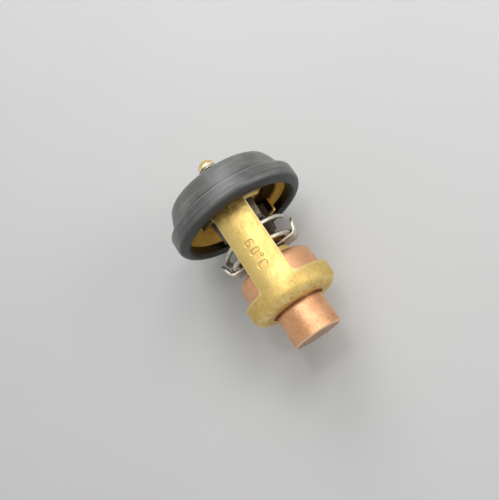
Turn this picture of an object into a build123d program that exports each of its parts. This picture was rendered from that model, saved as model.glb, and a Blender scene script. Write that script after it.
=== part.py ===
from build123d import *
from math import cos, radians, sin, sqrt
import os

# Poppet-type engine thermostat, in millimetres.
# The X axis is the axis of the thermostat and points to the bulb of the wax capsule. The origin is the
# centre of the seal ring on its mould parting plane. +Z runs out through the middle of one cage strap.
# Cold is drawn: the valve is shut. Warmed wax drives the piston, and with it the whole valve train,
# towards -X, against the main spring.

# ---- driving dimensions ---------------------------------------------------------------------------
# rubber seal ring
RING_R = 17.2  # outside radius of the band below the parting plane
RING_STEP = 1.35  # the half above it is this much smaller
RING_TOP_X = -6.1  # flat face that the cover presses on
RING_FOOT_X = 4.6  # flat face that lies on the housing ledge
RING_LEAN = 2.05  # the upper half draws in by this much up to the cover face
RING_CROWN_R = 25.0  # in a shallow arc
RING_TOP_ROUND = 0.9  # rounded outer edge of the cover face
RING_FOOT_ROUND = 2.0  # rounding from the band down to the ledge face
BORE_STEP = 0.05  # bore under the plate, outside the dish
TOP_BORE_STEP = 0.7  # bore above the plate, outside the dished floor
RIM_COVER = 1.8  # rubber outside the rim of the plate
TOP_BEVEL = 0.5  # bevel at the mouth of the upper bore
LIP_DEPTH = 0.7  # bevel at the mouth of the lower bore, along X
LIP_WIDTH = 0.75  # and across it

# brass flange plate, a dished pressing
PLATE_T = 0.6
FLOOR_X = 0.0  # underside of the dished floor, the side the cage is on
RIM_X = 1.7  # underside of the outer rim
DISH_TOP_R = 14.0  # outer end of the cone
HEAD_INSET = 0.1  # the cone starts this far inside the strap heads

# brass cage: a drawn cup, two straps and their heads, one pressing
CAGE_R = 11.1
CAGE_T = 0.55
CUP_TOP_X = 24.15
CUP_BASE_X = 29.2
CUP_CORNER_R = 2.5
STRAP_HALF = 4.4
STRAP_ROOT_R = 1.2
HEAD_X = 4.1  # lower edge of the strap heads
HEAD_HALF_DEG = 43.0
JOGGLE = 0.6  # length over which a strap steps out into its head
HEAD_CORNER_R = 0.5

# stainless stirrup that carries the top of the main spring
STIRRUP_T = 0.6
STIRRUP_SEAT_X = 9.0  # face that the main spring bears on
LEG_GAP = 2.35  # leg to the inside of a strap
STIRRUP_TOP_HALF = 6.1
STIRRUP_SEAT_HALF = 5.4
STIRRUP_BEND = 0.6  # inside bend radius
FOOT_GAP = 0.9  # the feet are trimmed round, inside the strap heads
FOOT_LAP = 1.6  # floor of the plate under the feet, from the valve opening out

# wax capsule
BULB_R = 6.1
BULB_END_X = 37.5
BULB_WALL = 0.6
CASE_GAP = 0.95  # round the case, inside the cup
CASE_TOP_ROUND = 2.4
CASE_FOOT_ROUND = 2.0
BASE_FLAT = 0.25  # least flat round the hole in the cup, in the cup and under the case
SHOULDER_FLAT = 1.3  # flat of the case between its rounding and the neck
NECK_RISE = 2.0  # how far the neck stands out of the case
NECK_GAP = 0.5  # neck to the retainer
GUIDE_DISC_T = 2.0
SLEEVE_WALL = 1.3
SLEEVE_DISC_T = 1.2
BACKUP_T = 0.8
PISTON_R = 2.0
PISTON_DEPTH = 14.5  # from the tip to the buried end
SLEEVE_END_T = 1.2

# valve train
RETAINER_T = 0.6
RETAINER_HALF = 2.85
HOOK_RISE = 3.6  # from the face that the bottom coil lies on to the hook ends
HOOK_LEAN = 1.2  # and how far the ends lean out
RETAINER_TIP_ROUND = 2.3  # corners of the hook ends
RETAINER_BEND = 1.0  # inside bend radius
RETAINER_SIDE_GAP = 0.1  # bottom coil to the inside of the bend
PUSH_CUP_SIDE_GAP = 0.625  # push cup to the inside of the bottom coil
PUSH_CUP_T = 0.6
PUSH_CUP_DEPTH = 2.3
PUSH_CUP_ROUND = 0.9
STEM_R = 1.5
STEM_TENON_R = 1.1
STEM_COLLAR_R = 2.3
STEM_COLLAR_T = 0.8
VALVE_T = 0.6
SEAT_LAP = 1.4  # brim over the plate, from the valve opening out
BODY_INSET = 0.8  # hat inside the opening, where it leaves the brim
VALVE_CROWN_R = 4.2
VALVE_CROWN_X = -8.9  # top of the hat
HEAD_R = 2.45
HEAD_RIM_T = 0.4
DOME_RISE = 2.0
VALVE_LIFT = 3.0  # travel of the train
LIFT_SPARE = 0.4  # left between the push cup and the stirrup at full lift

# springs
MAIN_WIRE = 1.25
MAIN_SIDE_GAP = 1.275  # top coil to the straps
MAIN_TAPER = 0.7  # the coils close in towards the capsule
MAIN_CUT_AZIMUTH = 80.0  # where the top coil is cut, from +Z towards +Y
MAIN_TOP_TURN = 0.08  # ground flat
MAIN_TURNS = 0.9  # working part
RELIEF_WIRE = 0.5
RELIEF_COIL_R = 2.2
RELIEF_LENGTH = 3.2  # from the head to the crown of the valve
RELIEF_CUT_AZIMUTH = 200.0
RELIEF_TURNS = 2.5

# fits
RUNNING = 0.07  # radial clearance of a sliding pin in its hole
BASE_HOLE_GAP = 0.55  # round the bulb in the base of the cup
SLEEVE_GAP = 0.05  # rubber sleeve to the piston
EDGE = 0.3  # chamfer on turned edges
SPRING_GAP = 0.06  # spring end to its seat
COIL_GAP = 0.05  # closed end to the coil beside it

# ---- worked-out dimensions ------------------------------------------------------------------------
PLATE_TOP_X = FLOOR_X - PLATE_T
FLOOR_R = CAGE_R - HEAD_INSET
RIM_R = RING_R - RIM_COVER
UPPER_R = RING_R - RING_STEP
CONE_SLOPE = (RIM_X - FLOOR_X) / (DISH_TOP_R - FLOOR_R)
RING_BORE_R = DISH_TOP_R + BORE_STEP
RING_TOP_BORE_R = FLOOR_R + TOP_BORE_STEP
CAGE_IN_R = CAGE_R - CAGE_T
HEAD_OUT_R = CAGE_R + CAGE_T
BASE_HOLE_R = BULB_R + BASE_HOLE_GAP
CUP_HEEL_R = min(CUP_CORNER_R, CAGE_R - BASE_HOLE_R - BASE_FLAT)
CUP_FLOOR_X = CUP_BASE_X - CAGE_T
STIRRUP_OUT_Z = CAGE_IN_R - LEG_GAP
FOOT_R = CAGE_R - FOOT_GAP
SEAT_R = FOOT_R - FOOT_LAP
MAIN_TOP_COIL_R = CAGE_IN_R - MAIN_SIDE_GAP - MAIN_WIRE / 2
MAIN_BOTTOM_COIL_R = MAIN_TOP_COIL_R - MAIN_TAPER
PUSH_CUP_R = MAIN_BOTTOM_COIL_R - MAIN_WIRE / 2 - PUSH_CUP_SIDE_GAP
PUSH_CUP_TOP_X = STIRRUP_SEAT_X + VALVE_LIFT + LIFT_SPARE
RETAINER_TOP_X = PUSH_CUP_TOP_X + PUSH_CUP_DEPTH
RETAINER_UNDER_X = RETAINER_TOP_X + RETAINER_T
NECK_TOP_X = RETAINER_UNDER_X + NECK_GAP
CASE_R = CAGE_IN_R - CASE_GAP
CASE_TOP_X = NECK_TOP_X + NECK_RISE
NECK_R = CASE_R - CASE_TOP_ROUND - SHOULDER_FLAT
CASE_IN_R = CASE_R - BULB_WALL
CASE_HEEL_R = min(CASE_FOOT_ROUND, CASE_R - BASE_HOLE_R - BASE_FLAT)
GUIDE_DISC_X = CASE_TOP_X + BULB_WALL
BACKUP_X = GUIDE_DISC_X + GUIDE_DISC_T
SLEEVE_X = BACKUP_X + BACKUP_T
SLEEVE_R = PISTON_R + SLEEVE_GAP + SLEEVE_WALL
PISTON_TIP_X = RETAINER_UNDER_X
PISTON_END_X = PISTON_TIP_X + PISTON_DEPTH
SLEEVE_END_X = PISTON_END_X + SLEEVE_GAP + SLEEVE_END_T
VALVE_SEAT_X = PLATE_TOP_X
VALVE_BRIM_R = SEAT_R + SEAT_LAP
VALVE_BODY_R = SEAT_R - BODY_INSET
CROWN_UNDER_X = VALVE_CROWN_X + VALVE_T
HEAD_UNDER_X = VALVE_CROWN_X - RELIEF_LENGTH
HEAD_RIM_X = HEAD_UNDER_X - HEAD_RIM_T
HEAD_TOP_X = HEAD_RIM_X - DOME_RISE

os.makedirs("parts", exist_ok=True)


def cone_x(radius):
    """Axial place of the plate's underside where the dish has this radius."""
    return FLOOR_X + CONE_SLOPE * (radius - FLOOR_R)


def azimuth_point(x, radius, azimuth):
    """Point at an azimuth counted in degrees from +Z towards +Y."""
    return (x, radius * sin(radians(azimuth)), radius * cos(radians(azimuth)))


def closed_turn(wire, rise, working):
    """Share of a turn that a closed end can have before it would run into the coil beside it."""
    return 1 - working * (wire + COIL_GAP) / rise


def coil_points(x_first, rise, r_first, r_last, azimuth, closed_first, working, closed_last):
    """Wire centres of a spring with closed ends; the coil runs towards falling azimuths."""
    total = closed_first + working + closed_last
    steps = round(24 * total)
    points = []
    for step in range(steps + 1):
        turn = total * step / steps
        share = min(max((turn - closed_first) / working, 0.0), 1.0)
        radius = r_first + (r_last - r_first) * turn / total
        points.append(azimuth_point(x_first + rise * share, radius, azimuth - 360 * turn))
    return points


# ---- flange plate ---------------------------------------------------------------------------------
with BuildPart() as flange_plate:
    with BuildSketch(Plane.XY):
        with BuildLine():
            Polyline(
                (FLOOR_X, SEAT_R),
                (FLOOR_X, FLOOR_R),
                (RIM_X, DISH_TOP_R),
                (RIM_X, RIM_R),
                (RIM_X - PLATE_T, RIM_R),
                (RIM_X - PLATE_T, DISH_TOP_R),
                (PLATE_TOP_X, FLOOR_R),
                (PLATE_TOP_X, SEAT_R),
                close=True,
            )
        make_face()
    revolve(axis=Axis.X)
flange_plate.part.label = "flange_plate"
export_step(flange_plate.part, "parts/flange_plate.step")

# ---- seal ring ------------------------------------------------------------------------------------
# The ring is moulded round the rim of the plate, so the plate's own section is cut out of it.
with BuildPart() as seal_ring:
    with BuildSketch(Plane.XY):
        with BuildLine():
            crown = RadiusArc((0, UPPER_R), (RING_TOP_X, UPPER_R - RING_LEAN), -RING_CROWN_R)
            Polyline(
                crown @ 1,
                (RING_TOP_X, RING_TOP_BORE_R + TOP_BEVEL),
                (RING_TOP_X + TOP_BEVEL, RING_TOP_BORE_R),
                (cone_x(RING_TOP_BORE_R), RING_TOP_BORE_R),
                (RIM_X, RING_BORE_R),
                (RING_FOOT_X - LIP_DEPTH, RING_BORE_R),
                (RING_FOOT_X, RING_BORE_R + LIP_WIDTH),
                (RING_FOOT_X, RING_R - RING_FOOT_ROUND),
            )
            foot = RadiusArc(
                (RING_FOOT_X, RING_R - RING_FOOT_ROUND),
                (RING_FOOT_X - RING_FOOT_ROUND, RING_R),
                -RING_FOOT_ROUND,
            )
            Polyline(foot @ 1, (0, RING_R), (0, UPPER_R))
        make_face()
    revolve(axis=Axis.X)
    fillet(seal_ring.edges().group_by(Axis.X)[0].sort_by(SortBy.RADIUS)[-1], radius=RING_TOP_ROUND)
    add(flange_plate.part, mode=Mode.SUBTRACT)
seal_ring.part.label = "seal_ring"
export_step(seal_ring.part, "parts/seal_ring.step")

# ---- cage -----------------------------------------------------------------------------------------
with BuildPart() as cage:
    # drawn cup with its hole for the bulb
    with BuildSketch(Plane.XY):
        with BuildLine():
            Line((CUP_TOP_X, CAGE_R), (CUP_BASE_X - CUP_HEEL_R, CAGE_R))
            RadiusArc(
                (CUP_BASE_X - CUP_HEEL_R, CAGE_R),
                (CUP_BASE_X, CAGE_R - CUP_HEEL_R),
                CUP_HEEL_R,
            )
            Polyline(
                (CUP_BASE_X, CAGE_R - CUP_HEEL_R),
                (CUP_BASE_X, BASE_HOLE_R),
                (CUP_FLOOR_X, BASE_HOLE_R),
                (CUP_FLOOR_X, CAGE_R - CUP_HEEL_R),
            )
            RadiusArc(
                (CUP_FLOOR_X, CAGE_R - CUP_HEEL_R),
                (CUP_BASE_X - CUP_HEEL_R, CAGE_IN_R),
                -(CUP_HEEL_R - CAGE_T),
            )
            Polyline(
                (CUP_BASE_X - CUP_HEEL_R, CAGE_IN_R),
                (CUP_TOP_X, CAGE_IN_R),
                (CUP_TOP_X, CAGE_R),
            )
        make_face()
    revolve(axis=Axis.X)
    # strap outline, seen along Z: parallel sides that widen in an arc into the cup
    with BuildSketch(Plane.XY, mode=Mode.PRIVATE) as strap_outline:
        with Locations(((HEAD_X - JOGGLE + CUP_TOP_X) / 2, 0)):
            Rectangle(CUP_TOP_X - HEAD_X + JOGGLE, 2 * STRAP_HALF)
        with Locations((CUP_TOP_X - STRAP_ROOT_R / 2, 0)):
            Rectangle(STRAP_ROOT_R, 2 * (STRAP_HALF + STRAP_ROOT_R))
        root_side = STRAP_HALF + STRAP_ROOT_R
        with Locations((CUP_TOP_X - STRAP_ROOT_R, root_side), (CUP_TOP_X - STRAP_ROOT_R, -root_side)):
            Circle(STRAP_ROOT_R, mode=Mode.SUBTRACT)
    with BuildPart(mode=Mode.PRIVATE) as strap_wall:
        with BuildSketch(Plane.YZ.offset(HEAD_X - JOGGLE)):
            Circle(CAGE_R)
            Circle(CAGE_IN_R, mode=Mode.SUBTRACT)
        extrude(amount=CUP_TOP_X - HEAD_X + JOGGLE)
        extrude(strap_outline.sketch, amount=CAGE_R, both=True, mode=Mode.INTERSECT)
    add(strap_wall.part)
    # heads: arcs one sheet thickness further out, which end on the dish of the plate
    with BuildPart(mode=Mode.PRIVATE) as heads:
        with BuildSketch(Plane.XY):
            with BuildLine():
                Polyline(
                    (cone_x(CAGE_R), CAGE_R),
                    (HEAD_X, CAGE_R),
                    (HEAD_X, HEAD_OUT_R),
                    (cone_x(HEAD_OUT_R), HEAD_OUT_R),
                    close=True,
                )
            make_face()
        revolve(axis=Axis.X)
        with BuildSketch(Plane.YZ):
            with BuildLine():
                side_y = 2 * HEAD_OUT_R * sin(radians(HEAD_HALF_DEG))
                side_z = 2 * HEAD_OUT_R * cos(radians(HEAD_HALF_DEG))
                Polyline((0, 0), (side_y, side_z), (-side_y, side_z), close=True)
            make_face()
            mirror(about=Plane.XZ)
        extrude(amount=HEAD_X, mode=Mode.INTERSECT)
        radial_edges = heads.edges().filter_by(lambda e: abs(e.length - CAGE_T) < 0.01)
        fillet(radial_edges.filter_by(lambda e: e.center().X > HEAD_X - 0.01), radius=HEAD_CORNER_R)
    add(heads.part)
cage.part.label = "cage"
export_step(cage.part, "parts/cage.step")

# ---- spring stirrup -------------------------------------------------------------------------------
with BuildPart() as spring_stirrup:
    # side view, seen along Y: foot, leg, seat, leg, foot
    with BuildSketch(Plane.XZ):
        with BuildLine() as stirrup_line:
            mid = STIRRUP_T / 2
            foot_x = FLOOR_X + mid
            seat_x = STIRRUP_SEAT_X - mid
            leg_z = STIRRUP_OUT_Z - mid
            FilletPolyline(
                (foot_x, FOOT_R),
                (foot_x, leg_z),
                (seat_x, leg_z),
                (seat_x, -leg_z),
                (foot_x, -leg_z),
                (foot_x, -FOOT_R),
                radius=STIRRUP_BEND + mid,
            )
        trace(line_width=STIRRUP_T)
    extrude(amount=STIRRUP_TOP_HALF, both=True)
    # the legs narrow towards the seat, and the feet are trimmed round
    with BuildSketch(Plane.XY):
        with BuildLine():
            Polyline(
                (FLOOR_X, STIRRUP_TOP_HALF),
                (STIRRUP_SEAT_X, STIRRUP_SEAT_HALF),
                (STIRRUP_SEAT_X, -STIRRUP_SEAT_HALF),
                (FLOOR_X, -STIRRUP_TOP_HALF),
                close=True,
            )
        make_face()
    extrude(amount=FOOT_R, both=True, mode=Mode.INTERSECT)
    with BuildSketch(Plane.YZ.offset(FLOOR_X)):
        Circle(FOOT_R)
    extrude(amount=STIRRUP_SEAT_X, mode=Mode.INTERSECT)
    with BuildSketch(Plane.YZ.offset(STIRRUP_SEAT_X)):
        Circle(STEM_R + RUNNING)
    extrude(amount=-2 * STIRRUP_T, mode=Mode.SUBTRACT)
spring_stirrup.part.label = "spring_stirrup"
export_step(spring_stirrup.part, "parts/spring_stirrup.step")

# ---- capsule case ---------------------------------------------------------------------------------
with BuildPart() as capsule_case:
    with BuildSketch(Plane.XY):
        with BuildLine():
            top = Line((CASE_TOP_X, NECK_R), (CASE_TOP_X, CASE_R - CASE_TOP_ROUND))
            shoulder = RadiusArc(top @ 1, (CASE_TOP_X + CASE_TOP_ROUND, CASE_R), CASE_TOP_ROUND)
            wall = Line(shoulder @ 1, (CUP_FLOOR_X - CASE_HEEL_R, CASE_R))
            heel = RadiusArc(wall @ 1, (CUP_FLOOR_X, CASE_R - CASE_HEEL_R), CASE_HEEL_R)
            Polyline(
                heel @ 1,
                (CUP_FLOOR_X, BULB_R),
                (BULB_END_X - EDGE, BULB_R),
                (BULB_END_X, BULB_R - EDGE),
                (BULB_END_X, 0),
                (BULB_END_X - BULB_WALL, 0),
                (BULB_END_X - BULB_WALL, BULB_R - BULB_WALL),
                (CUP_FLOOR_X - BULB_WALL, BULB_R - BULB_WALL),
                (CUP_FLOOR_X - BULB_WALL, CASE_R - CASE_HEEL_R),
            )
            RadiusArc(
                (CUP_FLOOR_X - BULB_WALL, CASE_R - CASE_HEEL_R),
                (CUP_FLOOR_X - CASE_HEEL_R, CASE_IN_R),
                -(CASE_HEEL_R - BULB_WALL),
            )
            Line((CUP_FLOOR_X - CASE_HEEL_R, CASE_IN_R), (CASE_TOP_X + CASE_TOP_ROUND, CASE_IN_R))
            RadiusArc(
                (CASE_TOP_X + CASE_TOP_ROUND, CASE_IN_R),
                (GUIDE_DISC_X, CASE_R - CASE_TOP_ROUND),
                -(CASE_TOP_ROUND - BULB_WALL),
            )
            Polyline((GUIDE_DISC_X, CASE_R - CASE_TOP_ROUND), (GUIDE_DISC_X, NECK_R), top @ 0)
        make_face()
    revolve(axis=Axis.X)
capsule_case.part.label = "capsule_case"
export_step(capsule_case.part, "parts/capsule_case.step")

# ---- piston guide ---------------------------------------------------------------------------------
# Its neck stands out of the case; its disc fills the case under the rolled shoulder.
with BuildPart() as piston_guide:
    with BuildSketch(Plane.XY):
        with BuildLine():
            Polyline(
                (NECK_TOP_X, PISTON_R + RUNNING),
                (NECK_TOP_X, NECK_R - EDGE),
                (NECK_TOP_X + EDGE, NECK_R),
                (GUIDE_DISC_X, NECK_R),
                (GUIDE_DISC_X, CASE_R - CASE_TOP_ROUND),
            )
            RadiusArc(
                (GUIDE_DISC_X, CASE_R - CASE_TOP_ROUND),
                (CASE_TOP_X + CASE_TOP_ROUND, CASE_IN_R),
                CASE_TOP_ROUND - BULB_WALL,
            )
            Polyline(
                (CASE_TOP_X + CASE_TOP_ROUND, CASE_IN_R),
                (BACKUP_X, CASE_IN_R),
                (BACKUP_X, PISTON_R + RUNNING),
                (NECK_TOP_X, PISTON_R + RUNNING),
            )
        make_face()
    revolve(axis=Axis.X)
piston_guide.part.label = "piston_guide"
export_step(piston_guide.part, "parts/piston_guide.step")

# ---- sealed inside of the capsule -----------------------------------------------------------------
with BuildPart() as backup_ring:
    with BuildSketch(Plane.YZ.offset(BACKUP_X)):
        Circle(CASE_IN_R)
        Circle(PISTON_R + SLEEVE_GAP, mode=Mode.SUBTRACT)
    extrude(amount=BACKUP_T)
backup_ring.part.label = "backup_ring"
export_step(backup_ring.part, "parts/backup_ring.step")

with BuildPart() as rubber_sleeve:
    with BuildSketch(Plane.XY):
        with BuildLine():
            Polyline(
                (SLEEVE_X, PISTON_R + SLEEVE_GAP),
                (SLEEVE_X, CASE_IN_R),
                (SLEEVE_X + SLEEVE_DISC_T, CASE_IN_R),
                (SLEEVE_X + SLEEVE_DISC_T, SLEEVE_R),
                (SLEEVE_END_X, SLEEVE_R),
                (SLEEVE_END_X, 0),
                (PISTON_END_X + SLEEVE_GAP, 0),
                (PISTON_END_X + SLEEVE_GAP, PISTON_R + SLEEVE_GAP),
                close=True,
            )
        make_face()
    revolve(axis=Axis.X)
rubber_sleeve.part.label = "rubber_sleeve"
export_step(rubber_sleeve.part, "parts/rubber_sleeve.step")

with BuildPart() as wax_charge:
    with BuildSketch(Plane.XY):
        with BuildLine():
            Polyline(
                (SLEEVE_X + SLEEVE_DISC_T, SLEEVE_R),
                (SLEEVE_X + SLEEVE_DISC_T, CASE_IN_R),
                (CUP_FLOOR_X - CASE_HEEL_R, CASE_IN_R),
            )
            RadiusArc(
                (CUP_FLOOR_X - CASE_HEEL_R, CASE_IN_R),
                (CUP_FLOOR_X - BULB_WALL, CASE_R - CASE_HEEL_R),
                CASE_HEEL_R - BULB_WALL,
            )
            Polyline(
                (CUP_FLOOR_X - BULB_WALL, CASE_R - CASE_HEEL_R),
                (CUP_FLOOR_X - BULB_WALL, BULB_R - BULB_WALL),
                (BULB_END_X - BULB_WALL, BULB_R - BULB_WALL),
                (BULB_END_X - BULB_WALL, 0),
                (SLEEVE_END_X, 0),
                (SLEEVE_END_X, SLEEVE_R),
                (SLEEVE_X + SLEEVE_DISC_T, SLEEVE_R),
            )
        make_face()
    revolve(axis=Axis.X)
wax_charge.part.label = "wax_charge"
export_step(wax_charge.part, "parts/wax_charge.step")

# ---- piston ---------------------------------------------------------------------------------------
with BuildPart() as piston:
    with BuildSketch(Plane.YZ.offset(PISTON_TIP_X)):
        Circle(PISTON_R)
    extrude(amount=PISTON_DEPTH)
    chamfer(piston.edges().filter_by(GeomType.CIRCLE), length=EDGE)
piston.part.label = "piston"
export_step(piston.part, "parts/piston.step")

# ---- spring retainer ------------------------------------------------------------------------------
# A strip under the bottom coil with its two ends turned up and out as hooks.
with BuildPart() as spring_retainer:
    with BuildSketch(Plane.XY.offset(-RETAINER_HALF)):
        with BuildLine():
            base_x = RETAINER_TOP_X + RETAINER_T / 2
            bend_r = RETAINER_BEND + RETAINER_T / 2
            corner_y = MAIN_BOTTOM_COIL_R + MAIN_WIRE / 2 + RETAINER_SIDE_GAP + RETAINER_T / 2
            tip_x = RETAINER_TOP_X - HOOK_RISE
            tip_y = corner_y + HOOK_LEAN
            FilletPolyline(
                (tip_x, tip_y), (base_x, corner_y), (base_x, -corner_y), (tip_x, -tip_y), radius=bend_r
            )
        trace(line_width=RETAINER_T)
    extrude(amount=2 * RETAINER_HALF)
    thin_edges = spring_retainer.edges().filter_by(lambda e: abs(e.length - RETAINER_T) < 0.01)
    tip_corners = thin_edges.filter_by(lambda e: e.center().X < tip_x + RETAINER_T)
    fillet(tip_corners, radius=RETAINER_TIP_ROUND)
    with BuildSketch(Plane.YZ.offset(RETAINER_UNDER_X)):
        Circle(STEM_TENON_R)
    extrude(amount=-2 * RETAINER_T, mode=Mode.SUBTRACT)
spring_retainer.part.label = "spring_retainer"
export_step(spring_retainer.part, "parts/spring_retainer.step")

# ---- push cup -------------------------------------------------------------------------------------
# A shallow brass cup, upside down on the retainer, that centres the bottom coil.
with BuildPart() as push_cup:
    with BuildSketch(Plane.YZ.offset(PUSH_CUP_TOP_X)):
        Circle(PUSH_CUP_R)
    extrude(amount=RETAINER_TOP_X - PUSH_CUP_TOP_X)
    fillet(push_cup.edges().group_by(Axis.X)[0], radius=PUSH_CUP_ROUND)
    offset(amount=-PUSH_CUP_T, openings=push_cup.faces().sort_by(Axis.X)[-1])
    with BuildSketch(Plane.YZ.offset(PUSH_CUP_TOP_X)):
        Circle(STEM_TENON_R)
    extrude(amount=PUSH_CUP_T, mode=Mode.SUBTRACT)
push_cup.part.label = "push_cup"
export_step(push_cup.part, "parts/push_cup.step")

# ---- valve stem -----------------------------------------------------------------------------------
# Turned steel: tenon through the push cup and the retainer, guide length, collar under the valve, tenon
# for the head.
with BuildPart() as valve_stem:
    with BuildSketch(Plane.XY):
        with BuildLine():
            Polyline(
                (RETAINER_UNDER_X, 0),
                (RETAINER_UNDER_X, STEM_TENON_R),
                (PUSH_CUP_TOP_X, STEM_TENON_R),
                (PUSH_CUP_TOP_X, STEM_R),
                (CROWN_UNDER_X + STEM_COLLAR_T, STEM_R),
                (CROWN_UNDER_X + STEM_COLLAR_T, STEM_COLLAR_R),
                (CROWN_UNDER_X, STEM_COLLAR_R),
                (CROWN_UNDER_X, STEM_R),
                (HEAD_UNDER_X, STEM_R),
                (HEAD_UNDER_X, STEM_TENON_R),
                (HEAD_TOP_X + HEAD_RIM_T, STEM_TENON_R),
                (HEAD_TOP_X + HEAD_RIM_T, 0),
                close=True,
            )
        make_face()
    revolve(axis=Axis.X)
valve_stem.part.label = "valve_stem"
export_step(valve_stem.part, "parts/valve_stem.step")

# ---- stem head ------------------------------------------------------------------------------------
DOME_R = (HEAD_R**2 + DOME_RISE**2) / (2 * DOME_RISE)
with BuildPart() as stem_head:
    with BuildSketch(Plane.XY):
        with BuildLine():
            RadiusArc((HEAD_TOP_X, 0), (HEAD_RIM_X, HEAD_R), DOME_R)
            Polyline(
                (HEAD_RIM_X, HEAD_R),
                (HEAD_UNDER_X, HEAD_R),
                (HEAD_UNDER_X, STEM_TENON_R),
                (HEAD_TOP_X + HEAD_RIM_T, STEM_TENON_R),
                (HEAD_TOP_X + HEAD_RIM_T, 0),
                (HEAD_TOP_X, 0),
            )
        make_face()
    revolve(axis=Axis.X)
stem_head.part.label = "stem_head"
export_step(stem_head.part, "parts/stem_head.step")

# ---- valve ----------------------------------------------------------------------------------------
# A drawn brass hat. Its brim shuts on the plate and its crown slides on the stem.
with BuildPart() as valve_hat:
    with BuildSketch(Plane.XY):
        with BuildLine():
            lean = (VALVE_BODY_R - VALVE_CROWN_R) / (VALVE_SEAT_X - VALVE_CROWN_X)
            wall_y = VALVE_T * sqrt(1 + lean**2)
            Polyline(
                (VALVE_SEAT_X, VALVE_BRIM_R),
                (VALVE_SEAT_X, VALVE_BODY_R - wall_y),
                (CROWN_UNDER_X, VALVE_CROWN_R + lean * VALVE_T - wall_y),
                (CROWN_UNDER_X, STEM_R + RUNNING),
                (VALVE_CROWN_X, STEM_R + RUNNING),
                (VALVE_CROWN_X, VALVE_CROWN_R),
                (VALVE_SEAT_X - VALVE_T, VALVE_BODY_R - lean * VALVE_T),
                (VALVE_SEAT_X - VALVE_T, VALVE_BRIM_R),
                close=True,
            )
        make_face()
    revolve(axis=Axis.X)
    outer_crown = valve_hat.edges().filter_by(GeomType.CIRCLE).group_by(Axis.X)[0].sort_by(SortBy.RADIUS)[-1]
    fillet(outer_crown, radius=VALVE_T)
valve_hat.part.label = "valve_hat"
export_step(valve_hat.part, "parts/valve_hat.step")


# ---- springs --------------------------------------------------------------------------------------
def wind(points, wire, first_radius_direction):
    """Sweep the wire's round section along the coil."""
    with BuildPart() as coil:
        with BuildLine() as path:
            Spline(*points)
        with BuildSketch(Plane(origin=path.line @ 0, x_dir=first_radius_direction, z_dir=path.line % 0)):
            Circle(wire / 2)
        sweep(path=path.line, is_frenet=True)
    return coil


main_first_x = STIRRUP_SEAT_X + SPRING_GAP + MAIN_WIRE / 2
main_rise = RETAINER_TOP_X - SPRING_GAP - MAIN_WIRE / 2 - main_first_x
main_spring = wind(
    coil_points(
        main_first_x,
        main_rise,
        MAIN_TOP_COIL_R,
        MAIN_BOTTOM_COIL_R,
        MAIN_CUT_AZIMUTH,
        MAIN_TOP_TURN,
        MAIN_TURNS,
        closed_turn(MAIN_WIRE, main_rise, MAIN_TURNS),
    ),
    MAIN_WIRE,
    azimuth_point(0, 1, MAIN_CUT_AZIMUTH),
)
main_spring.part.label = "main_spring"
export_step(main_spring.part, "parts/main_spring.step")

relief_first_x = HEAD_UNDER_X + SPRING_GAP + RELIEF_WIRE / 2
relief_rise = VALVE_CROWN_X - SPRING_GAP - RELIEF_WIRE / 2 - relief_first_x
relief_closed = closed_turn(RELIEF_WIRE, relief_rise, RELIEF_TURNS)
relief_spring = wind(
    coil_points(
        relief_first_x,
        relief_rise,
        RELIEF_COIL_R,
        RELIEF_COIL_R,
        RELIEF_CUT_AZIMUTH,
        relief_closed,
        RELIEF_TURNS,
        relief_closed,
    ),
    RELIEF_WIRE,
    azimuth_point(0, 1, RELIEF_CUT_AZIMUTH),
)
relief_spring.part.label = "relief_spring"
export_step(relief_spring.part, "parts/relief_spring.step")
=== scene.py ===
from math import cos, hypot, radians, sin

import bmesh
import bpy
from mathutils import Matrix, Vector, noise


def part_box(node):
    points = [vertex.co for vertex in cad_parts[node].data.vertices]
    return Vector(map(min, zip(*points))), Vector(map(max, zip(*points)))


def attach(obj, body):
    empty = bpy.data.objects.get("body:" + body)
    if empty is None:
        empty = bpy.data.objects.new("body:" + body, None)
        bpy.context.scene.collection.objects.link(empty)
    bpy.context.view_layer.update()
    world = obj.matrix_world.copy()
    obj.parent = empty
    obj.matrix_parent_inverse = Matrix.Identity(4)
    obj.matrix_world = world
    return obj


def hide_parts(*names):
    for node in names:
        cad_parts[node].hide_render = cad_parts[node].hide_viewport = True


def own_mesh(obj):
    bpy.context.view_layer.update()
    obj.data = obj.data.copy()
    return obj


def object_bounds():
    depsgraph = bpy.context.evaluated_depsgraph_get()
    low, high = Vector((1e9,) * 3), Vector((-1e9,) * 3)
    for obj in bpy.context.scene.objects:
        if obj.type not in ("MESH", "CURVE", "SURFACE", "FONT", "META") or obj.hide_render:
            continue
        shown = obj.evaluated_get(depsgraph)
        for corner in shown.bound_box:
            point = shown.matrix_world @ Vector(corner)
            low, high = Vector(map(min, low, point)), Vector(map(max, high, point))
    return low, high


# Poppet-type engine thermostat, in metres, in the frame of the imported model: +X is its axis and points to
# the copper bulb, +Z runs out through the middle of one cage strap. The finishes, the stamped figures and
# the riveted head are worked out in millimetres.

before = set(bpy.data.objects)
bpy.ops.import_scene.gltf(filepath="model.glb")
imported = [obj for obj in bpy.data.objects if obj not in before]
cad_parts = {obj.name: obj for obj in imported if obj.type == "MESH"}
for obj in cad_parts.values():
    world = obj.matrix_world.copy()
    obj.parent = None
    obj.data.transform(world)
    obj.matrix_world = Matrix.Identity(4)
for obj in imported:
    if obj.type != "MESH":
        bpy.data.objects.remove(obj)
cad_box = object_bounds()
MM = 0.001


# ---- camera and lamps -----------------------------------------------------------------------------
def collect(thing):
    """Link a new object into the scene."""
    bpy.context.scene.collection.objects.link(thing)
    return thing


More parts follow.
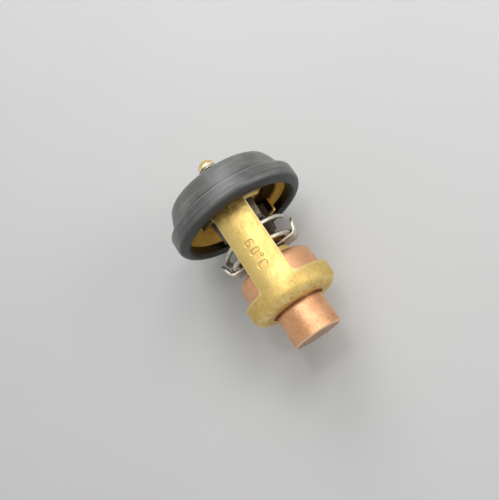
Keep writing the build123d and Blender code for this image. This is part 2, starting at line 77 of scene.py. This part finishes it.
def aim(thing, place, forward, up):
    """Put a camera or lamp at a place, looking along forward."""
    back = -Vector(forward).normalized()
    right = Vector(up).cross(back).normalized()
    turn = Matrix((right, back.cross(right), back)).transposed().to_4x4()
    thing.matrix_world = Matrix.Translation(place) @ turn


CAMERA_PLACE = (0.05255, 0.01505, 0.13771)
CAMERA_FORWARD = (-0.284, -0.121, -0.951)
CAMERA_UP = (-0.799, 0.578, 0.165)
CAMERA_LENS = 43.29
CAMERA_SENSOR = 36
CAMERA_CLIP_START = 0.005
LAMP_UP = (0.3, 1, 0.2)

# Each lamp's place, the place on the axis that it points at, its width in metres and its power in watts.
LAMPS = {
    "key_lamp": ((-0.12, 0.27, 0.4), 0.01, 0.16, 0.33),
    "top_lamp": ((-0.13, 0.04, 0.43), 0.01, 0.34, 0.38),
    "streak_lamp": ((-0.08, 0.05, 0.45), 0.02, 0.05, 0.12),
    "crown_lamp": ((-0.33, 0.1, 0.27), 0.0, 0.25, 0.5),
    "side_lamp": ((0.12, 0.36, 0.2), 0.01, 0.24, 0.34),
}


def set_camera():
    camera = collect(bpy.data.objects.new("camera", bpy.data.cameras.new("camera")))
    camera.data.sensor_fit = "HORIZONTAL"
    camera.data.sensor_width = CAMERA_SENSOR
    camera.data.lens = CAMERA_LENS
    camera.data.clip_start = CAMERA_CLIP_START
    aim(camera, CAMERA_PLACE, CAMERA_FORWARD, CAMERA_UP)
    bpy.context.scene.camera = camera


def add_lamp(name, place, target_x, width, power):
    """A round soft lamp."""
    data = bpy.data.lights.new(name, "AREA")
    data.shape = "DISK"
    data.size = width
    data.energy = power
    lamp = collect(bpy.data.objects.new(name, data))
    aim(lamp, place, Vector((target_x, 0, 0)) - Vector(place), LAMP_UP)


set_camera()
for lamp_name, lamp_setting in LAMPS.items():
    add_lamp(lamp_name, *lamp_setting)

bpy.context.scene.view_settings.view_transform = "Standard"


# ---- shader maths ---------------------------------------------------------------------------------
class Value:
    """The output of a node. Arithmetic on it adds Math nodes to the same tree."""

    def __init__(self, nodes, socket):
        self.nodes = nodes
        self.socket = socket

    def maths(self, operation, *values):
        return self.nodes.node("ShaderNodeMath", {"operation": operation}, dict(enumerate(values)))

    def __add__(self, other):
        return self.maths("ADD", self, other)

    __radd__ = __add__

    def __sub__(self, other):
        return self.maths("SUBTRACT", self, other)

    def __rsub__(self, other):
        return self.maths("SUBTRACT", other, self)

    def __mul__(self, other):
        return self.maths("MULTIPLY", self, other)

    __rmul__ = __mul__

    def __pow__(self, other):
        return self.maths("POWER", self, other)

    def __abs__(self):
        return self.maths("ABSOLUTE", self)

    def rise(self, low, high):
        """0 up to low, 1 from high on and smooth between them."""
        settings = {"interpolation_type": "SMOOTHSTEP"}
        return self.nodes.node("ShaderNodeMapRange", settings, {0: self, 1: low, 2: high, 3: 0.0, 4: 1.0})

    def near(self, place, inner, outer):
        """1 within inner of a place, 0 beyond outer."""
        return 1 - abs(self - place).rise(inner, outer)


class Nodes:
    """The node tree of a material or of the world."""

    def __init__(self, tree):
        self.tree = tree

    def node(self, kind, settings, sockets, output=0):
        """Add a node. output names the socket to hand back as a Value; None hands back the node."""
        made = self.tree.nodes.new(kind)
        for key, setting in settings.items():
            setattr(made, key, setting)
        for key, given in sockets.items():
            given = given.socket if isinstance(given, Value) else given
            if isinstance(given, bpy.types.NodeSocket):
                self.tree.links.new(given, made.inputs[key])
            else:
                made.inputs[key].default_value = given
        return made if output is None else Value(self, made.outputs[output])

    def seen(self):
        """1 for a ray that sees or mirrors the surroundings, 0 for one that gathers their light."""
        path = self.node("ShaderNodeLightPath", {}, {}, None)
        return sum(Value(self, path.outputs[ray]) for ray in SEEING_RAYS)

    def close(self, surface, output):
        """Link what has been made to the tree's output."""
        self.tree.links.new(surface.socket, self.tree.nodes[output].inputs["Surface"])


class Finish(Nodes):
    """The material of one kind of piece, with a Principled shader at its end; x, y and z in millimetres."""

    def __init__(self, name, **constants):
        self.material = bpy.data.materials.new(name)
        self.material.use_nodes = True
        super().__init__(self.material.node_tree)
        self.shader = self.tree.nodes["Principled BSDF"]
        for socket, number in constants.items():
            self.shader.inputs[socket.replace("_", " ")].default_value = number
        self.object_place = self.node("ShaderNodeTexCoord", {}, {}, "Object").socket
        parts = self.node("ShaderNodeSeparateXYZ", {}, {0: self.object_place}, None)
        self.x, self.y, self.z = (Value(self, part) * (1 / MM) for part in parts.outputs)

    def cloud(self, scales, detail, rough, shift=(0, 0, 0), turn=(0, 0, 0)):
        """Noise with its own number of cells a millimetre along each axis."""
        scales = [scale / MM for scale in scales]
        place = self.node("ShaderNodeMapping", {}, {0: self.object_place, 1: shift, 2: turn, 3: scales})
        sockets = {"Vector": place, "Scale": 1.0, "Detail": detail, "Roughness": rough}
        return self.node("ShaderNodeTexNoise", {}, sockets)

    def noise(self, scale, stretch=(1, 1, 1), shift=(0, 0, 0), detail=3.0, rough=0.5):
        """Noise with a scale in cells a millimetre; stretch above 1 draws its cells out along an axis."""
        return self.cloud([scale / drawn for drawn in stretch], detail, rough, shift)

    def scratches(self, turn, scale):
        """Sparse thin scratches, turned from the X axis by an angle in radians."""
        veins = self.cloud([0.3 * scale, 5 * scale, 5 * scale], 2.0, 0.5, turn=(0.3 * turn, turn, turn))
        return veins.rise(0.66, 0.71)

    def radius(self):
        """Distance from the thermostat's axis."""
        return (self.y * self.y + self.z * self.z) ** 0.5

    def mix(self, amount, first, second):
        """first where amount is 0, second where it is 1; both are colours."""
        return self.node("ShaderNodeMix", {"data_type": "RGBA"}, {0: amount, 6: first, 7: second}, 2)

    def tint(self, amount, shade):
        """Lay a colour over the finish's own."""
        self.tone = self.mix(amount, self.tone, shade)

    def bump(self, height, depth):
        """Feed a height into the normal; depth is in millimetres."""
        sockets = {"Height": height, "Distance": depth * MM, "Strength": 1.0}
        if self.shader.inputs["Normal"].links:
            sockets["Normal"] = self.shader.inputs["Normal"].links[0].from_socket
        made = self.node("ShaderNodeBump", {}, sockets)
        self.feed("Normal", made)

    def feed(self, socket, given):
        self.tree.links.new(given.socket, self.shader.inputs[socket])

    def done(self):
        self.feed("Base Color", self.tone)
        self.feed("Roughness", self.rough)
        return self.material


def colour(*parts):
    """Red, green and blue as written on a screen, 0 to 255, made linear."""
    linear = [((part / 255 + 0.055) / 1.055) ** 2.4 if part > 10 else part / 3295 for part in parts]
    return (*linear, 1.0)


def toned(shade, share):
    """A linear colour made darker or lighter."""
    return (*[min(1.0, share * part) for part in shade[:3]], 1.0)


# ---- finishes -------------------------------------------------------------------------------------
BRASS = colour(235, 207, 131)
BRASS_DULL = colour(198, 164, 92)
# Used both as rubbed wear and as a painted highlight.
BRASS_WEAR_AND_HIGHLIGHT = colour(255, 240, 184)
PLATE_GOLD = colour(252, 208, 108)
GOLD_DULL = colour(190, 138, 58)
HEAD_GOLD = colour(252, 216, 122)
# A painted highlight round the dome's rim.
HEAD_RIM_HIGHLIGHT = colour(255, 246, 214)
STEEL = colour(206, 200, 190)
STEEL_DULL = colour(140, 130, 116)
WIRE = colour(234, 228, 214)
STRIP = colour(124, 114, 100)
STRIP_DULL = colour(76, 66, 54)
STEM = colour(120, 100, 78)
STEM_DULL = colour(62, 46, 30)
COPPER = colour(242, 188, 142)
COPPER_DULL = colour(198, 132, 90)
COPPER_PEEL = colour(150, 84, 62)
COPPER_STAIN = colour(134, 74, 50)
# Painted shade where the bulb leaves the cup.
COPPER_ROOT_SHADE = colour(84, 44, 26)
# Painted shade on the bulb's end face.
COPPER_END_SHADE = colour(96, 62, 44)
# A painted highlight round the bulb's end rim.
COPPER_RIM_HIGHLIGHT = colour(255, 222, 186)
# A painted highlight on the heads' edges.
HEAD_EDGE_HIGHLIGHT = colour(255, 220, 132)
BROWN = colour(96, 66, 26)
# Painted shade on brass: under the heads' step on the straps and over one front arm.
BRASS_SHADE = colour(62, 44, 18)
# Painted shade on the rear head.
REAR_HEAD_SHADE = colour(58, 34, 12)
# Painted shade in the plate's dish.
DISH_SHADE = colour(52, 28, 8)
RUBBER = colour(72, 73, 71)
RUBBER_CLOUD = colour(106, 107, 103)
# Used both as the rubber's bloom and as a painted highlight and sheen on the ring.
RUBBER_BLOOM_AND_HIGHLIGHT = colour(150, 150, 146)
RUBBER_SPECK = colour(170, 168, 160)
# Painted shade for the fold where the ring's band starts to round over.
RUBBER_CREASE_SHADE = colour(36, 37, 36)
# Painted shade on the ring's rounded foot.
RUBBER_FOOT_SHADE = colour(20, 21, 20)
# A painted shadow under the ring's step.
RUBBER_STEP_SHADOW = colour(5, 5, 5)
SLEEVE_BLACK = colour(38, 38, 38)
WAX = colour(196, 150, 104)
FLUOROPLASTIC = colour(214, 206, 190)

# Where the finishes change: places along the axis and distances from it or from the middle of a strap.
CREASE_X = 2.3
JOGGLE_X = 3.5
JOGGLE_R = (11.3, 11.6)
CUP_X = (23.6, 25)
STRAP_EDGE_Y = (4.22, 4.36)
FIGURES_X = 16.5
FIGURES_HALF = (4.2, 4.6)
BULB_X = (29.0, 29.4)
ROOT_X = (29.4, 30.3)
BULB_RIM_X = (37.1, 37.3)
BULB_RIM_R = (5.6, 5.9)
BULB_END_X = (37.4, 37.46)
DISH_R = (11.6, 12.6)
DOME_RIM_X = (-12.95, -12.6)


def rubber_finish():
    """Satin moulded rubber: clouded bloom, flow marks round it, streaks that are partly bloom and partly a
    painted sheen, painted highlights on the crown and along the step's edge, painted shade in the crease
    and over the foot, and a painted shadow under the step at the parting line.
    """
    made = Finish("ring_rubber", Specular_IOR_Level=1.0)
    radius = made.radius()
    clouds = made.noise(0.16, detail=5, rough=0.6)
    flow = made.noise(0.9, stretch=(0.4, 6, 6), detail=4)
    smears_and_sheen = made.noise(0.35, stretch=(0.5, 4, 4), shift=(2, 5, 1), detail=5, rough=0.65).rise(0.5, 0.72)
    specks = made.noise(4.5, detail=2).rise(0.66, 0.74) * made.noise(0.25, shift=(3, 1, 0)).rise(0.42, 0.66)
    corner = made.x.rise(-1.0, -0.82) * (1 - radius.rise(16.6, 17.1))
    crown = 1 - made.x.rise(-5.9, -4.6)
    wavy_x = made.x + 0.3 * (flow - 0.5)
    crease = wavy_x.near(CREASE_X, 0.1, 0.35)
    foot = wavy_x.rise(3.1, 4.1)
    lip = made.x.rise(-0.1, 0.1) * (1 - made.x.rise(0.25, 0.5)) * radius.rise(16.6, 17)
    made.tone = made.mix(clouds.rise(0.3, 0.7), RUBBER, RUBBER_CLOUD)
    # Lighter on the streaks, which are partly bloom and partly a painted sheen; a painted highlight on the
    # crown's end and along the step's edge.
    made.tint(smears_and_sheen * 0.4 + crown * 0.3 + lip * 0.4, RUBBER_BLOOM_AND_HIGHLIGHT)
    # Painted shade along the fold where the band starts to round over.
    made.tint(crease * 0.5, RUBBER_CREASE_SHADE)
    # Painted shade over the rounded foot.
    made.tint(foot * 0.85, RUBBER_FOOT_SHADE)
    made.tint(specks * 0.2, RUBBER_SPECK)
    # A painted shadow on the smaller half, just under the step at the parting line.
    made.tint(corner, RUBBER_STEP_SHADOW)
    made.rough = 0.27 + 0.12 * clouds + 0.08 * flow - 0.05 * smears_and_sheen + 0.1 * foot
    made.bump(made.noise(7, detail=4), 0.018)
    made.bump(flow, 0.04)
    made.bump(smears_and_sheen, 0.02)
    return made.done()


def metal_finish(name, bright, dull, roughness, grain=(1, 1, 1), grain_scale=7, depth=0.012, tarnish=0.4):
    """Worked metal: grain along one direction, clouded tarnish, thin scratches, specks and pits."""
    made = Finish(name, Metallic=1.0)
    clouds = made.noise(0.24, detail=6, rough=0.62).rise(0.36, 0.68)
    blotches = made.noise(1.3, shift=(4, 2, 7), detail=4, rough=0.6).rise(0.5, 0.72)
    lines = made.noise(grain_scale, stretch=grain, detail=4, rough=0.65)
    scratches = made.scratches(0.62, 0.6) + made.scratches(-0.35, 0.9)
    pits = made.noise(5.5, shift=(1, 8, 3), detail=2).rise(0.68, 0.78)
    made.tone = made.mix(clouds * tarnish + 0.22 * blotches + 0.25 * lines.rise(0.35, 0.7), bright, dull)
    made.tint(pits * 0.3, toned(dull, 0.35))
    made.tint(scratches * 0.2, toned(bright, 1.15))
    made.rough = roughness + 0.12 * clouds + 0.14 * (lines - 0.5) + 0.1 * blotches - 0.08 * scratches
    made.bump(lines, depth)
    made.bump(made.noise(2.4, detail=4, rough=0.6), 0.022)
    made.bump(1 - pits, 0.012)
    made.bump(scratches, 0.004)
    return made


def cage_finish():
    """Drawn brass: lines along the straps, a mottled cup with a painted highlight on its corner, painted
    shade where the straps leave the plate, and edges partly rubbed and partly a painted highlight.
    """
    drawn = (16, 0.8, 0.8)
    made = metal_finish("cage_brass", BRASS, BRASS_DULL, 0.38, grain=drawn, depth=0.008, tarnish=0.36)
    radius = made.radius()
    smudge = made.noise(0.6, detail=5, rough=0.62)
    blots = made.noise(1.1, detail=5, rough=0.65).rise(0.5, 0.7)
    across = abs(made.y)
    joggle_shadow = made.x.near(JOGGLE_X, 0.2, 0.75) * (1 - radius.rise(*JOGGLE_R))
    painted_shade_near_plate = 1 - made.x.rise(3.4, 8.0)
    cup = made.x.rise(*CUP_X)
    corner = made.x.rise(27.4, 28.6) * radius.rise(8.6, 9.4)
    strap_edge = across.rise(*STRAP_EDGE_Y) * (1 - cup)
    stamped = (1 - radius.rise(10.99, 11.06)) * radius.rise(10.7, 10.8)
    stamped = stamped * made.x.near(FIGURES_X, *FIGURES_HALF)
    # Painted shade, mottled, over the pressing near the plate.
    made.tint(painted_shade_near_plate * smudge.rise(0.25, 0.6) * 0.75, BROWN)
    # A painted shadow along the step where each strap runs in under its head.
    made.tint(joggle_shadow * 0.9, BRASS_SHADE)
    made.tint(cup * blots * 0.2, BROWN)
    made.tint(stamped * (0.3 + 0.7 * radius.rise(11.01, 11.03)) * 0.5, BROWN)
    # The straps' edges are partly rubbed and partly a painted highlight; the cup's corner gets a mottled
    # painted highlight.
    made.tint(strap_edge * 0.7 + corner * smudge.rise(0.4, 0.6) * 0.5, BRASS_WEAR_AND_HIGHLIGHT)
    # The T-shaped heads: the rear one in painted shade, both with painted highlights along their edges, one
    # front arm in painted shade.
    rear = (1 - made.z.rise(-7, -3)) * (1 - made.x.rise(3.4, 3.7))
    arms = across.rise(4.5, 4.7) * (1 - made.x.rise(4.3, 4.5))
    front_arm_shade = arms * made.z.rise(0, 2) * (1 - made.y.rise(-4.4, 0))
    # Painted shade over the rear head, inside the cage.
    made.tint(rear * 0.9, REAR_HEAD_SHADE)
    # A painted highlight along the heads' edges.
    made.tint(arms * (made.x.rise(3.65, 3.95) + across.rise(7.35, 7.5)), HEAD_EDGE_HIGHLIGHT)
    # Painted shade, mottled, over the front head's left arm.
    made.tint(front_arm_shade * (0.6 + 0.3 * smudge), BRASS_SHADE)
    made.rough = made.rough + 0.1 * cup + 0.12 * painted_shade_near_plate
    made.bump(made.noise(1.2, shift=(5, 5, 5), detail=4) * cup, 0.05)
    return made.done()


def copper_finish():
    """Drawn copper with an orange-peel skin; the bulb is scuffed all round, with painted shade at its root
    and on its end face and a painted highlight round its end rim.
    """
    made = metal_finish("case_copper", COPPER, COPPER_DULL, 0.34, grain=(1, 3, 3), depth=0.01, tarnish=0.36)
    radius = made.radius()
    bulb = made.x.rise(*BULB_X)
    peel = made.noise(3.2, detail=5, rough=0.7)
    stains = made.noise(0.8, shift=(9, 1, 4), detail=5, rough=0.65).rise(0.55, 0.74)
    root = bulb * (1 - made.x.rise(*ROOT_X))
    rim = made.x.rise(*BULB_RIM_X) * radius.rise(*BULB_RIM_R)
    end = made.x.rise(*BULB_END_X) * (1 - radius.rise(5.2, 5.7))
    made.tint(peel.rise(0.56, 0.74) * 0.35, COPPER_PEEL)
    made.tint(stains * (0.14 + 0.18 * bulb), COPPER_STAIN)
    # Painted shade round the bulb's root, against the cup.
    made.tint(root * 0.75, COPPER_ROOT_SHADE)
    # Painted shade over the bulb's end face, mottled by the stains.
    made.tint(end * (0.4 + 0.3 * stains), COPPER_END_SHADE)
    # A painted highlight round the bulb's end rim.
    made.tint(rim * 0.7, COPPER_RIM_HIGHLIGHT)
    made.rough = made.rough + 0.16 * (peel - 0.4) - 0.07 * bulb
    made.bump(peel, 0.055)
    made.bump(stains, 0.015)
    return made.done()


def plate_finish():
    """Pressed brass, bright on the cone, with painted shade over half the floor of the dish."""
    made = metal_finish("plate_brass", PLATE_GOLD, GOLD_DULL, 0.42, tarnish=0.3)
    smudge = made.noise(0.7, detail=5, rough=0.6)
    dish = (1 - (made.radius() + 1.4 * (smudge - 0.5)).rise(*DISH_R)) * made.y.rise(-6, 3)
    # Painted shade, with a mottled edge, over half the floor of the dish.
    made.tint(dish * 0.95, DISH_SHADE)
    made.rough = made.rough + 0.15 * dish
    return made.done()


def head_finish():
    """Hammered brass, yellow on the dome, with a painted white highlight round its rim."""
    made = metal_finish("head_brass", HEAD_GOLD, BRASS_DULL, 0.3, grain_scale=2, depth=0.09)
    # A painted white highlight round the dome's rim.
    made.tint(made.x.rise(*DOME_RIM_X) * 0.8, HEAD_RIM_HIGHLIGHT)
    return made.done()


def plain_finish(name, shade, roughness):
    """Moulded stuff inside the capsule: faint clouding and a fine skin."""
    made = Finish(name)
    clouds = made.noise(0.4, detail=4)
    made.tone = made.mix(clouds, shade, toned(shade, 0.75))
    made.rough = roughness + 0.1 * clouds
    made.bump(made.noise(5, detail=3), 0.01)
    return made.done()


def plain_metal(name, bright, dull, roughness, **grain_and_tarnish):
    return metal_finish(name, bright, dull, roughness, **grain_and_tarnish).done()


TURNED = (0.6, 5, 5)
FINISHES = {
    "seal_ring": rubber_finish(),
    "flange_plate": plate_finish(),
    "cage": cage_finish(),
    "spring_stirrup": plain_metal("stirrup_steel", STRIP, STRIP_DULL, 0.5, grain=(8, 1, 8)),
    "capsule_case": copper_finish(),
    "piston_guide": plain_metal("guide_brass", BRASS, BRASS_DULL, 0.36, grain=TURNED),
    "backup_ring": plain_finish("backup_plastic", FLUOROPLASTIC, 0.45),
    "rubber_sleeve": plain_finish("sleeve_rubber", SLEEVE_BLACK, 0.6),
    "wax_charge": plain_finish("wax", WAX, 0.6),
    "main_spring": plain_metal("spring_steel", WIRE, STEEL_DULL, 0.3, tarnish=0.45),
    "piston": plain_metal("piston_steel", STEEL, STEEL_DULL, 0.2, grain=TURNED),
    "push_cup": plain_metal("push_brass", GOLD_DULL, BROWN, 0.32, tarnish=0.6),
    "spring_retainer": plain_metal("retainer_steel", WIRE, STEEL_DULL, 0.36, grain=(9, 9, 1), depth=0.03),
    "valve_stem": plain_metal("stem_steel", STEM, STEM_DULL, 0.32, grain=TURNED),
    "stem_head": head_finish(),
    "valve_hat": plain_metal("valve_brass", BRASS, BRASS_DULL, 0.32, grain=(6, 1, 1)),
    "relief_spring": plain_metal("relief_steel", WIRE, STEEL_DULL, 0.2),
}

for name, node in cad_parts.items():
    for slot in node.material_slots:
        slot.material = FINISHES[name]


# ---- rounded edges --------------------------------------------------------------------------------
FLAT_ANGLE = radians(0.3)
SHARP_ANGLE = radians(25)
SHADED_SHARP_ANGLE = radians(40)
JOIN_DISTANCE = 1e-7


def copied(node):
    """A copy of a node's mesh with its triangles joined up."""
    shape = bmesh.new()
    shape.from_mesh(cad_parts[node].data)
    bmesh.ops.remove_doubles(shape, verts=shape.verts, dist=JOIN_DISTANCE)
    return shape


def softened(node, width):
    """A copy of a node with its sharp edges rounded over a width in millimetres."""
    shape = copied(node)
    bmesh.ops.dissolve_limit(shape, angle_limit=FLAT_ANGLE, verts=shape.verts, edges=shape.edges)
    sharp = [edge for edge in shape.edges if edge.calc_face_angle(0) > SHARP_ANGLE]
    bmesh.ops.bevel(shape, geom=sharp, offset=width * MM, segments=2, profile=0.5, affect="EDGES",
                    clamp_overlap=True, material=-1)
    return shape


def ramp(place, low, high):
    """0 up to low, 1 from high on and straight between them."""
    return min(1.0, max(0.0, (place - low) / (high - low)))


def settle(name, shape, node, body):
    """Turn a finished shape into the piece that is seen in place of a node."""
    mesh = bpy.data.meshes.new(name)
    for face in shape.faces:
        face.smooth = True
    bmesh.ops.recalc_face_normals(shape, faces=shape.faces)
    shape.to_mesh(mesh)
    shape.free()
    mesh.set_sharp_from_angle(angle=SHADED_SHARP_ANGLE)
    mesh.materials.append(FINISHES[node])
    piece = collect(bpy.data.objects.new(name, mesh))
    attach(piece, body)
    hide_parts(node)
    return piece


# ---- stamped figures ------------------------------------------------------------------------------
# The opening temperature, 60 degrees, stamped into the outside of the front strap. A place on the strap is
# its distance along the axis and across the strap, in millimetres, and a stroke is a list of places.
STRAP_R = 11.1
STRAP_INSIDE_R = 10.6
FACING_OUT = 0.8
STROKE_HALF_WIDTH = 0.17
STROKE_FLOOR = 0.4 * STROKE_HALF_WIDTH
STROKE_WALL = 1.3 * STROKE_HALF_WIDTH
STAMP_DEPTH = 0.1
RIDGE_AWAY = 1.7 * STROKE_HALF_WIDTH
RIDGE_HALF_WIDTH = 0.6 * STROKE_HALF_WIDTH
RIDGE_HEIGHT = 0.02
FIGURES_LOW = (12.4, -1.7)
FIGURES_HIGH = (20.1, 1.2)
FIGURES_CELL = 0.07
ARC_STEPS = 14


def arc(along, across, half_along, half_across, first, last):
    """Places on an elliptic arc; angles in degrees from +X towards +Y."""
    turns = [radians(first + (last - first) * step / ARC_STEPS) for step in range(ARC_STEPS + 1)]
    return [(along + half_along * cos(turn), across + half_across * sin(turn)) for turn in turns]


STROKES = [
    arc(13.4, -0.85, 0.55, 0.5, 180, -180) + [(12.85, 0.1)] + arc(13.45, 0.12, 0.6, 0.6, 180, 35),
    arc(15.6, 0.25, 0.5, 0.5, 0, 180) + arc(15.6, -0.85, 0.5, 0.5, 180, 360) + [(16.1, 0.25)],
    arc(17.25, 0.55, 0.33, 0.33, 0, 360),
    arc(19.1, 0.15, 0.6, 0.6, 35, 180) + arc(19.1, -0.85, 0.6, 0.6, 180, 325),
]


def stroke_distance(place):
    """Distance from a place on the strap to the middle line of the nearest stroke."""
    away = []
    for stroke in STROKES:
        for start, end in zip(stroke, stroke[1:]):
            run = Vector(end) - Vector(start)
            share = ramp((place - Vector(start)).dot(run), 0, max(run.length_squared, 1e-9))
            away.append((place - Vector(start) - share * run).length)
    return min(away)


def outside_of_strap(face):
    return face.normal.z > FACING_OUT and face.calc_center_median().z > STRAP_INSIDE_R * MM


def round_figures(face):
    """Is this face of the strap's outside one of those that the figures are pressed into?"""
    slack = 0.01
    middle = face.calc_center_median() / MM
    sides = zip(FIGURES_LOW, middle.xy, FIGURES_HIGH)
    return outside_of_strap(face) and all(low - slack < place < high + slack for low, place, high in sides)


def cut_across(shape, axis, place, faces):
    """Cut some faces along the plane that stands square on an axis."""
    normal = Vector([float(number == axis) for number in range(3)])
    edges = [edge for face in faces for edge in face.edges]
    verts = [vert for face in faces for vert in face.verts]
    around = list(dict.fromkeys(faces + edges + verts))
    bmesh.ops.bisect_plane(shape, geom=around, plane_co=normal * place * MM, plane_no=normal)


def stamp(shape):
    """Cut the strap's outside into fine cells round the figures and press the strokes in."""
    for axis, (low, high) in enumerate(zip(FIGURES_LOW, FIGURES_HIGH)):
        for place in (low, high):
            cut_across(shape, axis, place, [face for face in shape.faces if outside_of_strap(face)])
        for step in range(1, round((high - low) / FIGURES_CELL)):
            cells = [face for face in shape.faces if round_figures(face)]
            cut_across(shape, axis, low + step * FIGURES_CELL, cells)
    for vert in dict.fromkeys(vert for face in shape.faces if round_figures(face) for vert in face.verts):
        away = stroke_distance(vert.co.xy / MM)
        press = 1 - ramp(away, STROKE_FLOOR, STROKE_WALL)
        press = press * press * (3 - 2 * press)
        ridge = max(0.0, 1 - abs(away - RIDGE_AWAY) / RIDGE_HALF_WIDTH)
        radius = (STRAP_R - STAMP_DEPTH * press + RIDGE_HEIGHT * ridge) * MM
        from_axis = Vector((0, vert.co.y, vert.co.z))
        vert.co += from_axis.normalized() * (radius - from_axis.length)


# ---- riveted head ---------------------------------------------------------------------------------
DENT_DEPTH = 0.4
DENT_SCALE = 0.8
DENT_SHIFT = Vector((3, 1, 7))
DENTED_FROM_AXIS = (1.3, 1.9)
DENTED_LENGTH = (1.1, 1.5)
DOME_MIDDLE = 2.2


def peened():
    """The stem's head with the small flats that its riveting hammer leaves round the dome."""
    shape = softened("stem_head", 0.06)
    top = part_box("stem_head")[0].x / MM
    for vert in shape.verts:
        place = vert.co / MM
        share = ramp(hypot(place.y, place.z), *DENTED_FROM_AXIS) * (1 - ramp(place.x - top, *DENTED_LENGTH))
        dent = DENT_DEPTH * share * abs(noise.noise(place * DENT_SCALE + DENT_SHIFT))
        outwards = Vector((place.x - top - DOME_MIDDLE, place.y, place.z)).normalized()
        vert.co -= outwards * dent * MM
    return shape


cage_shape = softened("cage", 0.08)
stamp(cage_shape)
settle("cage_pressing", cage_shape, "cage", "housing")
settle("stem_rivet", peened(), "stem_head", "train")
settle("stirrup_strip", softened("spring_stirrup", 0.1), "spring_stirrup", "housing")
settle("retainer_strip", softened("spring_retainer", 0.15), "spring_retainer", "train")
settle("ring_moulding", softened("seal_ring", 0.07), "seal_ring", "housing")


# ---- springs --------------------------------------------------------------------------------------
def wind(name, node, body):
    """A coil spring: a copy of the node's mesh, with a mesh of its own, riding on a body."""
    piece = settle(name, copied(node), node, body)
    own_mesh(piece)


wind("return_spring_wire", "main_spring", "housing")
wind("relief_spring_wire", "relief_spring", "train")


# ---- floor and backdrop ---------------------------------------------------------------------------
PALE = colour(208, 208, 207)
PAINT = colour(226, 226, 224)
PAINT_CLOUD = colour(232, 232, 230)
SOFT_WHITE = (0.9, 0.92, 0.95, 1)
SOFT_LEVEL = 0.3
SEEING_RAYS = ("Is Camera Ray", "Is Glossy Ray", "Is Transmission Ray")
FLOOR_HALF = 1.5
FLOOR_GAP = 0.001
FLOOR_FADE = (110, 330)


def add_floor():
    """A painted floor. Far from the object, a ray that sees or mirrors it finds the pale surroundings."""
    mesh = bpy.data.meshes.new("floor")
    shape = bmesh.new()
    bmesh.ops.create_grid(shape, x_segments=1, y_segments=1, size=FLOOR_HALF)
    bmesh.ops.translate(shape, verts=shape.verts, vec=(0, 0, cad_box[0].z - FLOOR_GAP))
    shape.to_mesh(mesh)
    shape.free()
    floor = collect(bpy.data.objects.new("floor", mesh))
    made = Finish("floor_paint", Roughness=0.7)
    made.feed("Base Color", made.mix(made.noise(0.02), PAINT, PAINT_CLOUD))
    far = ((made.x ** 2 + made.y ** 2) ** 0.5).rise(*FLOOR_FADE)
    glow = made.node("ShaderNodeEmission", {}, {"Color": PALE, "Strength": 1.0})
    shaders = {0: far * made.seen(), 1: made.shader.outputs[0], 2: glow}
    made.close(made.node("ShaderNodeMixShader", {}, shaders), "Material Output")
    mesh.materials.append(made.material)


def set_world():
    """Even light from all round. A ray that sees or mirrors the surroundings finds them pale instead."""
    world = bpy.data.worlds.new("studio")
    bpy.context.scene.world = world
    world.use_nodes = True
    made = Nodes(world.node_tree)
    light = made.node("ShaderNodeBackground", {}, {"Color": SOFT_WHITE, "Strength": SOFT_LEVEL})
    backdrop = made.node("ShaderNodeBackground", {}, {"Color": PALE, "Strength": 1.0})
    shaders = {0: made.seen(), 1: light, 2: backdrop}
    made.close(made.node("ShaderNodeMixShader", {}, shaders), "World Output")


add_floor()
set_world()
